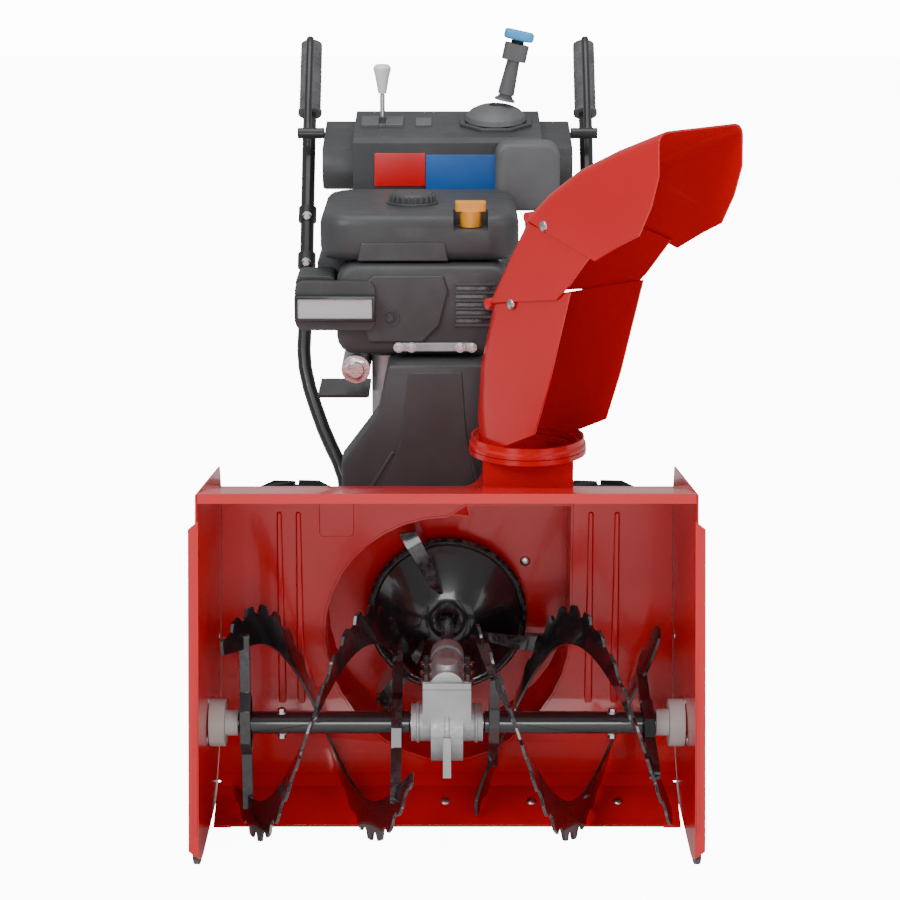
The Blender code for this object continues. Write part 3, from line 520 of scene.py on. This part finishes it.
def housing_details():
    """Ribs, flanges, strips and bolts of the auger housing."""
    bm = bmesh.new()
    for x in (-0.2626, -0.2327, 0.225, 0.266):
        plate(bm, [(x - 0.007, 0.120), (x + 0.007, 0.120), (x + 0.004, 0.465), (x - 0.004, 0.465)],
              "Y", 0.3565, 0.3625)
    piece("back_wall_ribs", bm, "red_paint", "frame", 0.0026, 3)
    bm = bmesh.new()
    for side in (-1.0, 1.0):
        low, high = 0.045, 0.560
        wide, narrow = half_width(low), half_width(high)
        inner = [(side * (narrow - 0.002), high), (side * (wide - 0.002), low)]
        outer = [(side * (wide + 0.013), low + 0.012), (side * (narrow + 0.013), high - 0.012)]
        plate(bm, inner + outer, "Y", -0.0030, 0.0002)
    piece("side_plate_flanges", bm, "red_paint", "frame", 0.0008)
    bm = bmesh.new()
    pressed = [(-0.196, 0.425), (-0.150, 0.425), (-0.146, 0.432), (-0.146, 0.500), (-0.200, 0.500),
               (-0.200, 0.432)]
    plate(bm, pressed, "Y", 0.3595, 0.3625)
    piece("back_wall_stamping", bm, "red_paint", "frame", 0.0012, 3)
    bm = bmesh.new()
    plate(bm, [(0.276, 0.0300), (0.300, 0.0520), (0.305, 0.0480), (0.281, 0.0260)], "X", -0.358, 0.358)
    piece("scraper_backing_strip", bm, "red_paint", "frame", 0.0008)
    bm = bmesh.new()
    for side in (-1.0, 1.0):
        under = [(0.2047, 0.0048), (0.2920, 0.0395), (0.2920, 0.0355), (0.2047, 0.0008)]
        plate(bm, under, "X", *sorted((side * 0.335, side * 0.3625)))
    piece("scraper_end_strips", bm, "red_paint", "frame", 0.0005)
    slope = Vector((0.0, -0.369, 0.929))
    spots = [(x, 0.2527, 0.0249) for x in (-0.2696, -0.136, -0.003, 0.132, 0.268)]
    bosses("scraper_bolts", spots, slope, "zinc_steel", "frame", 0.0082, domed=True)
    bosses("drum_back_bolt", [(0.127, 0.4868, 0.344)], FORWARD, "zinc_steel", "frame", 0.0085, domed=True)
    for side, name in ((-1.0, "left"), (1.0, "right")):
        wall = side * (half_width(0.19) - 0.0025)
        inward = (-side, 0.0, 0.0)
        outward = (side, 0.0, 0.0)
        spots = [(side * (half_width(z) + 0.0012), y, z) for y, z in ((0.130, 0.062), (0.210, 0.062))]
        bosses(f"skid_nuts_{name}", spots, outward, "zinc_steel", "frame", 0.0080, 0.0075)
        spots = [(side * (half_width(z) + 0.0002), 0.170 + 0.032 * sin(t), z)
                 for t, z in ((0.0, 0.224), (2.1, 0.174), (-2.1, 0.174))]
        bosses(f"bearing_bolts_{name}", spots, outward, "zinc_steel", "frame", 0.0062, 0.0060)
        spots = [(wall, 0.335, z) for z in (0.150, 0.270, 0.390)]
        bosses(f"seam_bolts_{name}", spots, inward, "zinc_steel", "frame", 0.0060, domed=True)


def gearbox_details():
    """Cap bolts on their washers, and the ribs of the casting."""
    spots = [(x, y, 0.2715) for x in (-0.031, 0.031) for y in (0.132, 0.168, 0.206)]
    bm = bmesh.new()
    for spot in spots:
        lathe(bm, [(-0.004, 0.0095), (0.0015, 0.0095), (0.0022, 0.0080)], at(*spot), UP, 20)
    piece("gearbox_washers", bm, "zinc_steel", "frame")
    bm = bmesh.new()
    for x, y, z in spots:
        place = at(x, y, z + 0.002)
        lathe(bm, [(0.0, 0.0055), (0.0085, 0.0055), (0.0095, 0.0046)], place, UP, 6)
    piece("gearbox_cap_bolts", bm, "black_paint", "frame", 0.0003)
    bm = bmesh.new()
    profile = [(-0.0035, 0.050), (-0.0035, 0.0605), (0.0035, 0.0605), (0.0035, 0.050)]
    lathe(bm, profile, AUGER, ACROSS, 48)
    for x in (-0.044, 0.044):
        profile = [(x - 0.003, 0.026), (x - 0.002, 0.0305), (x + 0.002, 0.0305), (x + 0.003, 0.026)]
        lathe(bm, profile, AUGER, ACROSS, 40)
    piece("gearbox_ribs", bm, "cast_aluminium", "frame", 0.0010)


# ---------------------------------------------------------------- chute


def chute_point(x, y, z):
    """A point given in the chute's own turned frame, from its axis and the ground."""
    turn = Matrix.Rotation(CHUTE_TURN, 3, "Z")
    return Vector((CHUTE.x, CHUTE.y, 0.0)) + turn @ Vector((x, y, z))


def chute_details():
    """Hinge barrels and pivot bolts between the chute's three lengths."""
    across = Matrix.Rotation(CHUTE_TURN, 3, "Z") @ Vector((1.0, 0.0, 0.0))
    for name, body, pivot, reach, hinge in (
        ("mid", "chute_mid", (-0.0480, 0.8000), 0.0802, (0.0145, 0.7900)),
        ("top", "chute_top", (-0.1250, 0.9300), 0.0850, (-0.0750, 0.9350)),
    ):
        bm = bmesh.new()
        for step in range(5):
            low = -0.0740 + step * 0.0298
            ends = [(low, 0.0070), (low + 0.001, 0.0085), (low + 0.0280, 0.0085), (low + 0.0290, 0.0070)]
            lathe(bm, ends, chute_point(0.0, *hinge), across, 20)
        piece(f"deflector_{name}_hinge", bm, "red_paint", body)
        bm = bmesh.new()
        for side in (-1.0, 1.0):
            carriage_bolt(bm, chute_point(side * reach, *pivot), side * across, 0.0085)
        piece(f"deflector_{name}_pivot_bolts", bm, "zinc_steel", body, 0.0003)


# ---------------------------------------------------------------- engine side


def shroud_details():
    """Louvres with painted shade in their slots, raised panel, bolt and bracket on the shroud's front."""
    # the slots are gloss black strips set between the louvre bars: painted shade of the openings
    bm = bmesh.new()
    for step in range(5):
        z = 0.722 + step * 0.0135
        plate(bm, [(0.013, z), (0.077, z), (0.075, z + 0.0060), (0.015, z + 0.0060)], "Y", 0.5738, 0.5756)
    piece("shroud_louvre_slot_shade", bm, "gloss_black", "frame", 0.0004)
    bm = bmesh.new()
    for step in range(6):
        z = 0.7152 + step * 0.0135
        plate(bm, [(0.012, z), (0.078, z), (0.078, z + 0.0045), (0.012, z + 0.0045)], "Y", 0.5715, 0.5756)
    piece("shroud_louvre_bars", bm, "charcoal_plastic", "frame", 0.0012)
    bm = bmesh.new()
    raised = [(-0.128, 0.690), (-0.040, 0.690), (-0.012, 0.718), (0.002, 0.775), (-0.006, 0.800),
              (-0.120, 0.800), (-0.150, 0.772)]
    plate(bm, raised, "Y", 0.5690, 0.5760)
    piece("shroud_front_panel", bm, "charcoal_plastic", "frame", 0.0030, 3)
    bm = bmesh.new()
    recess = [(0.0, 0.0135), (0.0030, 0.0135), (0.0030, 0.0105), (0.0006, 0.0100)]
    lathe(bm, recess, at(-0.0908, 0.5692, 0.731), FORWARD, 32)
    piece("shroud_bolt_recess", bm, "charcoal_plastic", "frame", 0.0004)
    bosses("shroud_bolt", [(-0.0908, 0.5680, 0.731)], FORWARD, "black_paint", "frame", 0.0052, 0.0045)
    bm = bmesh.new()
    strip = [(-0.085, 0.676), (0.045, 0.676), (0.047, 0.683), (0.036, 0.690), (-0.076, 0.690),
             (-0.088, 0.683)]
    plate(bm, strip, "Y", 0.5640, 0.5745)
    piece("shroud_bracket", bm, "cast_aluminium", "frame", 0.0014)
    spots = [(x, 0.5640, 0.683) for x in (-0.079, -0.058, 0.021, 0.040)]
    bosses("bracket_bolts", spots, FORWARD, "zinc_steel", "frame", 0.0062, 0.0055)


def tank_details():
    """Panel on the tank's front, ring round its filler and the cap's finger grips."""
    bm = bmesh.new()
    plate(bm, [(-0.146, 0.8190), (0.002, 0.8190), (-0.004, 0.8490), (-0.140, 0.8490)], "Y", 0.5945, 0.6000)
    piece("tank_front_panel", bm, "charcoal_plastic", "frame", 0.0022, 3)
    bm = bmesh.new()
    ring = [(-0.004, 0.0430), (0.0030, 0.0430), (0.0040, 0.0410), (0.0030, 0.0385), (-0.004, 0.0385)]
    lathe(bm, ring, at(*TANK_CAP, 0.893), UP, 48)
    piece("tank_filler_ring", bm, "charcoal_plastic", "frame", 0.0004)
    bm = bmesh.new()
    for step in range(22):
        angle = 2 * pi * step / 22
        foot = at(*TANK_CAP, 0.0) + 0.0362 * Vector((cos(angle), sin(angle), 0.0))
        lathe(bm, [(0.8930, 0.0030), (0.9060, 0.0028), (0.9085, 0.0016)], foot, UP, 8)
    piece("fuel_cap_grips", bm, "charcoal_plastic", NODE_BODY["fuel_cap"])


def belt_cover_details():
    """Raised face and flutes on the front of the belt cover."""
    bm = bmesh.new()
    face = [(-0.062, 0.652), (0.024, 0.652), (0.030, 0.560), (0.050, 0.432), (-0.120, 0.432), (-0.078, 0.530)]
    plate(bm, face, "Y", 0.5158, 0.5190)
    piece("belt_cover_face", bm, "charcoal_plastic", "frame", 0.0020, 3)
    bm = bmesh.new()
    for low, high in ((-0.140, -0.088), (-0.104, -0.070), (0.056, 0.036)):
        plate(bm, [(low - 0.004, 0.434), (low + 0.004, 0.434), (high + 0.003, 0.520), (high - 0.003, 0.520)],
              "Y", 0.5162, 0.5190)
    piece("belt_cover_flutes", bm, "charcoal_plastic", "frame", 0.0018)


def recoil_details():
    """Vents drawn as strips of painted shade, and rings on the recoil starter's cover, at the back of the engine.
    """
    bm = bmesh.new()
    centre = at(CRANK_X, RECOIL_BACK, CRANK_Z)
    # each vent is a gloss black strip on the cover: painted shade of the vent opening
    for step in range(16):
        angle = 2 * pi * step / 16
        spoke = Vector((cos(angle), 0.0, sin(angle)))
        swing = Vector((-sin(angle), 0.0, cos(angle)))
        rings = []
        for reach in (0.034, 0.074):
            base = centre + spoke * reach
            wide = 0.0022 + 0.05 * (reach - 0.034)
            rings.append([bm.verts.new(base + swing * a + Vector((0.0, b, 0.0)))
                          for a, b in ((-wide, -0.001), (wide, -0.001), (wide, 0.0014), (-wide, 0.0014))])
        join_rings(bm, rings)
    piece("recoil_cover_vent_shade", bm, "gloss_black", "frame", 0.0003)
    bm = bmesh.new()
    ring = [(-0.001, 0.080), (0.0030, 0.080), (0.0030, 0.0775), (-0.001, 0.0765)]
    lathe(bm, ring, centre, BACKWARD, 56)
    ring = [(-0.001, 0.026), (0.0050, 0.024), (0.0050, 0.004), (0.0035, 0.003)]
    lathe(bm, ring, centre, BACKWARD, 40)
    piece("recoil_cover_rings", bm, "charcoal_plastic", "frame", 0.0006)


def crankcase_details():
    """Cooling fins on the cylinder, and bosses with bolts on the back of the crankcase."""
    low, high = (corner - at(0.0, 0.0, 0.0) for corner in map(Vector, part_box("engine_block")))
    bm = bmesh.new()
    for step in range(9):
        z = high.z - 0.020 - step * 0.0125
        block(bm, (low.x - 0.006, low.y + 0.020, z - 0.0016), (high.x + 0.006, high.y - 0.020, z + 0.0016))
    piece("cylinder_fins", bm, "cast_aluminium", "frame", 0.0008)
    bm = bmesh.new()
    for x in (low.x + 0.018, high.x - 0.018):
        for z in (low.z + 0.030, low.z + 0.110, high.z - 0.150):
            lathe(bm, [(-0.004, 0.013), (0.006, 0.0115), (0.007, 0.0100)], at(x, high.y, z), BACKWARD, 24)
    piece("crankcase_bosses", bm, "cast_aluminium", "frame", 0.0005)
    spots = [(x, high.y + 0.0065, z) for x in (low.x + 0.018, high.x - 0.018)
             for z in (low.z + 0.030, low.z + 0.110, high.z - 0.150)]
    bosses("crankcase_bolts", spots, BACKWARD, "zinc_steel", "frame", 0.0052, 0.0050)


def chassis_details():
    """Arm that holds the starter's pull, and the bolts along both sides of the chassis."""
    bm = bmesh.new()
    arm = ((0.060, 0.860, 0.640), (0.085, 0.885, 0.668), (0.105, 0.905, 0.690), (0.105, 0.917, 0.690))
    tube(bm, [at(*point) for point in arm], 0.0060)
    lathe(bm, [(-0.004, 0.0100), (0.0, 0.0125)], at(*STARTER_PULL), BACKWARD, 28)
    piece("starter_pull_rest", bm, "black_paint", "frame", 0.0004)
    for name, side in (("left", -1.0), ("right", 1.0)):
        spots = [(side * 0.1652, y, z) for y in (0.560, 0.700, 0.850) for z in (0.290, 0.380)]
        bosses(f"chassis_bolts_{name}", spots, (side, 0.0, 0.0), "zinc_steel", "frame", 0.0070, 0.0065)


def headlight():
    """Rim, window, reflectors and lamps."""
    bm = bmesh.new()
    rim = [(-0.246, 0.729), (-0.116, 0.729), (-0.116, 0.771), (-0.246, 0.771)]
    rings = []
    for inset, depth in ((0.0, 0.5600), (0.0, 0.5450), (0.0045, 0.5440), (0.0055, 0.5600)):
        ring = []
        for (x, z), (dx, dz) in zip(rim, ((1, 1), (-1, 1), (-1, -1), (1, -1))):
            ring.append(bm.verts.new(at(x + inset * dx, depth, z + inset * dz)))
        rings.append(ring)
    join_rings(bm, rings, closed=True)
    piece("headlight_rim", bm, "black_paint", "frame", 0.0010)
    bm = bmesh.new()
    plate(bm, [(-0.241, 0.734), (-0.121, 0.734), (-0.121, 0.766), (-0.241, 0.766)], "Y", 0.5480, 0.5498)
    made = piece("headlight_window", bm, "clear_lens", "frame", 0.0006)
    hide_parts("headlight_lens")
    bm = bmesh.new()
    for step in range(6):
        place = at(LAMP_FIRST_X + step * LAMP_PITCH, 0.5585, LAMP_Z)
        lathe(bm, [(0.0, 0.0095), (0.0070, 0.0098), (0.0070, 0.0090), (0.0015, 0.0035)], place, FORWARD, 28)
    piece("headlight_reflectors", bm, "zinc_steel", "frame")
    bm = bmesh.new()
    for step in range(6):
        carriage_bolt(bm, at(LAMP_FIRST_X + step * LAMP_PITCH, 0.5570, LAMP_Z), FORWARD, 0.0032)
    piece("headlight_leds", bm, "white_plastic", "frame")


# ---------------------------------------------------------------- console and handles


def console_details():
    """Two plain colour panels, the speed gate, the bezel round the joystick and a small pad."""
    for name, slot, outline in (
        ("red", "red_paint", [(-0.130, 0.881), (-0.0395, 0.881), (-0.0395, 0.940), (-0.130, 0.940)]),
        ("blue", "blue_plastic", [(-0.0385, 0.8625), (0.0925, 0.8625), (0.0925, 0.937), (-0.0385, 0.937)]),
    ):
        bm = bmesh.new()
        plate(bm, outline, "Y", 0.9945, 1.0005)
        made = piece(f"console_{name}_panel", bm, slot, "frame", 0.0008)
        if name == "blue":
            made.data.materials[0] = plastic_material("deep_blue_panel", (0.008, 0.110, 0.420), 0.34).material
    top = PANEL_TOP
    tilt = Matrix.Rotation(PANEL_TILT, 4, "X")
    base = Matrix.Translation(at(0.0, 1.105, top))

    def on_top(bm):
        bmesh.ops.transform(bm, verts=bm.verts, matrix=base @ tilt @ base.inverted())
        return bm

    bm = bmesh.new()
    for low, high in (((-0.156, 1.076, top - 0.003), (-0.124, 1.134, top + 0.0035)),
                      ((-0.112, 1.076, top - 0.003), (-0.080, 1.134, top + 0.0035)),
                      ((-0.124, 1.128, top - 0.003), (-0.112, 1.134, top + 0.0035)),
                      ((-0.124, 1.076, top - 0.003), (-0.112, 1.082, top + 0.0035))):
        block(bm, low, high)
    piece("speed_gate", on_top(bm), "grey_plastic", "frame", 0.0010)
    bm = bmesh.new()
    profile = [(-0.003, 0.070), (0.0040, 0.070), (0.0055, 0.066), (0.0045, 0.059), (-0.003, 0.058)]
    lathe(bm, profile, at(0.087, 1.105, top), UP, 8, pi / 8)
    piece("joystick_bezel", on_top(bm), "charcoal_plastic", "frame", 0.0012)
    bm = bmesh.new()
    block(bm, (-0.058, 1.080, top - 0.002), (-0.029, 1.128, top + 0.0022))
    piece("console_pad", on_top(bm), "grey_plastic", "frame", 0.0010)


def joystick_details():
    """Bellows under the button and a boot at the foot of the stick."""
    pivot = joint_place("joystick_fore")
    lean = Vector((sin(STICK_LEAN), 0.0, cos(STICK_LEAN)))
    bm = bmesh.new()
    rings = [(0.1765, 0.0125), (0.1785, 0.0110), (0.1815, 0.0122), (0.1830, 0.0110), (0.1846, 0.0135)]
    lathe(bm, rings, pivot, lean, 28)
    neck = piece("joystick_neck", bm, "black_paint", None)
    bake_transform(neck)
    bm = bmesh.new()
    rings = [(0.0770, 0.0165)]
    for step in range(4):
        rings.append((0.0785 + step * 0.0022, 0.0160 - step * 0.0012))
        rings.append((0.0796 + step * 0.0022, 0.0138 - step * 0.0010))
    lathe(bm, rings, pivot, lean, 28)
    piece("joystick_boot", bm, "grip_rubber", NODE_BODY["joystick_collar"])


def ribbed_grip(name, x):
    """Moulded grip with shallow rings and a flared collar at its foot."""
    path = [at(x, y, z) for y, z in GRIP_PATH]
    bm = bmesh.new()
    rings = []
    steps = 96
    for step in range(steps + 1):
        share = step / steps * (len(path) - 1)
        k = min(int(share), len(path) - 2)
        point = path[k].lerp(path[k + 1], share - k)
        along = (path[-1] - path[0]).normalized()
        side = Vector((1.0, 0.0, 0.0))
        up = along.cross(side)
        radius = 0.0202 - 0.0005 * (step % 6 in (0, 1))
        if step < 5:
            radius = 0.0222
        if step > steps - 4:
            radius = 0.0200 - 0.0025 * (step - steps + 3)
        turns = [2 * pi * j / 28 for j in range(28)]
        rings.append([bm.verts.new(point + radius * (side * cos(turn) + up * sin(turn))) for turn in turns])
    join_rings(bm, rings)
    made = piece(f"{name}_ribbed", bm, "grip_rubber", "frame", 0.0, 2, 25.0)
    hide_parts(name)


def handle_details():
    """Grips, and the clamps with their bolts along the bars."""
    for name, side in (("left", -1.0), ("right", 1.0)):
        ribbed_grip(f"grip_{name}", side * HANDLE_X)
        low, high = (at(side * HANDLE_X, y, z) for y, z in CLAMP_BAR)
        places = [low.lerp(high, share) for share in CLAMP_SHARES]
        bm = bmesh.new()
        along = (high - low).normalized()
        for place in places:
            profile = [(-0.014, 0.0128), (-0.014, 0.0165), (0.014, 0.0165), (0.014, 0.0128)]
            lathe(bm, profile, place, along, 28)
        piece(f"handlebar_clamps_{name}", bm, "black_paint", "frame", 0.0010)
        bm = bmesh.new()
        for place in places:
            hex_bolt(bm, place + Vector((0.0, -0.0150, 0.0)), FORWARD, 0.0065, 0.006)
        piece(f"handlebar_clamp_bolts_{name}", bm, "zinc_steel", "frame", 0.0003)


# ---------------------------------------------------------------- wheels


def tyre(name, x, body):
    """Snow tyre: rounded carcass with two rows of slanted lugs."""
    hub = at(x, 0.750, 0.200)
    half = [(0.050, 0.1200), (0.062, 0.128), (0.068, 0.150), (0.066, 0.172), (0.054, 0.186), (0.030, 0.1905)]
    profile = [(-reach, radius) for reach, radius in half] + [(0.0, 0.1915)] + half[::-1]
    bm = bmesh.new()
    lathe(bm, profile, hub, ACROSS, 96)
    made = piece(f"{name}_carcass", bm, "tyre_rubber", body, 0.0)
    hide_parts(name)
    bm = bmesh.new()
    lugs = 18
    for side in (-1.0, 1.0):
        for step in range(lugs):
            turn = 2 * pi * (step + (0.5 if side > 0 else 0.0)) / lugs
            rings = []
            for reach, low, high, lean in ((0.004, 0.188, 0.1995, 0.10), (0.040, 0.186, 0.1990, 0.0),
                                           (0.064, 0.172, 0.188, -0.05), (0.0705, 0.155, 0.170, -0.06)):
                ring = []
                for radius, swing in ((low, -0.045), (high, -0.040), (high, 0.040), (low, 0.045)):
                    angle = turn + lean + swing
                    spoke = Vector((0.0, radius * sin(angle), radius * cos(angle)))
                    ring.append(bm.verts.new(hub + Vector((side * reach, 0.0, 0.0)) + spoke))
                rings.append(ring)
            join_rings(bm, rings)
    piece(f"{name}_lugs", bm, "tyre_rubber", body, 0.0012)


REPLACED = {"auger_left", "auger_right", "impeller", "headlight_lens", "grip_left", "grip_right", "tyre_left",
            "tyre_right"}
for name in frame["nodes"]:
    if name not in REPLACED:
        dress(name)
augers()
impeller()
housing_details()
gearbox_details()
chute_details()
shroud_details()
tank_details()
belt_cover_details()
recoil_details()
crankcase_details()
chassis_details()
headlight()
console_details()
handle_details()
joystick_details()
tyre("tyre_left", -0.265, "wheel_left")
tyre("tyre_right", 0.265, "wheel_right")


# ---------------------------------------------------------------- studio

AMBIENT = 0.42  # light from all round
BACKDROP = 14.0  # how bright the backdrop looks to the camera
FLOOR_GLOW = 11.0


def studio():
    """Floor, surroundings, lamps and camera."""
    ground = bpy.data.meshes.new("studio_floor")
    bm = bmesh.new()
    bmesh.ops.create_grid(bm, x_segments=1, y_segments=1, size=12.0)
    bm.to_mesh(ground)
    bm.free()
    floor = bpy.data.objects.new("studio_floor", ground)
    bpy.context.scene.collection.objects.link(floor)
    shade = Shade("pale_floor", (0.88, 0.88, 0.88), 0.75)
    shade.vary_roughness(3.0, 0.7, 0.8)
    seen = shade.nodes.new("ShaderNodeLightPath").outputs["Is Camera Ray"]
    glow = shade.nodes.new("ShaderNodeMath")
    glow.operation = "MULTIPLY"
    glow.inputs[1].default_value = FLOOR_GLOW
    shade.links.new(seen, glow.inputs[0])
    shade.shader.inputs["Emission Color"].default_value = (1.0, 1.0, 1.0, 1.0)
    shade.links.new(glow.outputs[0], shade.shader.inputs["Emission Strength"])
    ground.materials.append(shade.material)

    world = bpy.data.worlds.new("soft_white")
    world.use_nodes = True
    world.node_tree.nodes["Background"].inputs["Color"].default_value = (1.0, 1.0, 1.0, 1.0)
    backdrop = world.node_tree.nodes["Background"].inputs["Strength"]
    seen = world.node_tree.nodes.new("ShaderNodeLightPath").outputs["Is Camera Ray"]
    swell = world.node_tree.nodes.new("ShaderNodeMapRange")
    swell.inputs["To Min"].default_value = AMBIENT
    swell.inputs["To Max"].default_value = BACKDROP
    world.node_tree.links.new(seen, swell.inputs["Value"])
    world.node_tree.links.new(swell.outputs["Result"], backdrop)
    bpy.context.scene.world = world

    lamps = (
        ("key_light", (-2.2, -3.2, 3.4), 1.8, 95.0),
        ("fill_light", (2.6, -2.6, 2.2), 2.0, 45.0),
        ("top_light", (0.0, -0.2, 3.6), 2.6, 60.0),
        ("front_light", (0.0, -4.2, 0.9), 1.2, 30.0),
    )
    for name, place, size, power in lamps:
        data = bpy.data.lights.new(name, "AREA")
        data.size = size
        data.energy = power
        lamp = bpy.data.objects.new(name, data)
        lamp.location = place
        aim = Vector((0.0, -0.3, 0.45)) - lamp.location
        lamp.rotation_euler = aim.to_track_quat("-Z", "Y").to_euler()
        bpy.context.scene.collection.objects.link(lamp)

    data = bpy.data.cameras.new("camera")
    data.lens = 92.4
    data.sensor_width = 36.0
    camera = bpy.data.objects.new("camera", data)
    camera.location = (CENTRE_X + 0.0045, FRONT_Y - 3.1, 1.5)
    camera.rotation_euler = (radians(90.0 - 15.11), 0.0, 0.0)
    bpy.context.scene.collection.objects.link(camera)
    bpy.context.scene.camera = camera


studio()
